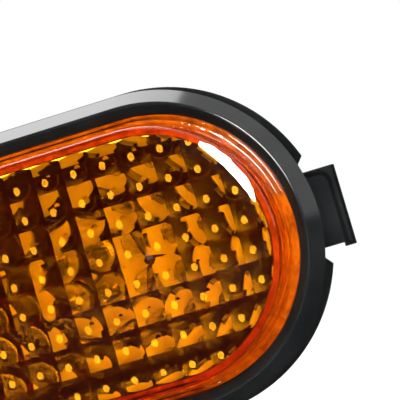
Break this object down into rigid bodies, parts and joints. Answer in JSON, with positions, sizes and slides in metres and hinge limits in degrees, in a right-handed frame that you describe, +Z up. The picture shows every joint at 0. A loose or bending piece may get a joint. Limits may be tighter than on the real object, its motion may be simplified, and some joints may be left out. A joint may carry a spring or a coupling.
{
  "type": "side marker lamp",
  "caption": "Oval amber side marker lamp with a pillow-optic lens in a black bezel, a panel hook, a spring clip and a twist-lock bulb holder.",
  "frame": {"origin": "centre of the plane of the skirt rim, which lies on the panel", "axes": "+X along the length to the end with the hook, -Y out through the lens, +Z up"},
  "size_m": [0.0704, 0.0556, 0.0446],
  "materials": {
    "black_plastic": "satin black moulding",
    "amber_lens": "clear amber, polished",
    "foam": "dark closed-cell foam",
    "spring_steel": "bright spring strip",
    "rubber": "black rubber",
    "natural_nylon": "natural moulded nylon",
    "brass": "bright brass strip",
    "clear_glass": "clear glass",
    "lead_wire": "nickel wire",
    "tungsten": "grey tungsten wire"
  },
  "bodies": {
    "lamp": {"housing": "black_plastic", "lens": "amber_lens", "panel_gasket": "foam", "spring_clip": "spring_steel", "holder_seal": "rubber"},
    "holder": {"bulb_holder": "natural_nylon", "contact_right": "brass", "contact_left": "brass", "bulb_envelope": "clear_glass", "lead_right": "lead_wire", "lead_left": "lead_wire", "filament": "tungsten"}
  },
  "joints": [
    {"name": "holder_twist", "type": "hinge", "parent": "lamp", "child": "holder", "pos_m": [0, 0.0263, 0], "axis": [0, 1, 0], "range_deg": [0, 45]}
  ]
}
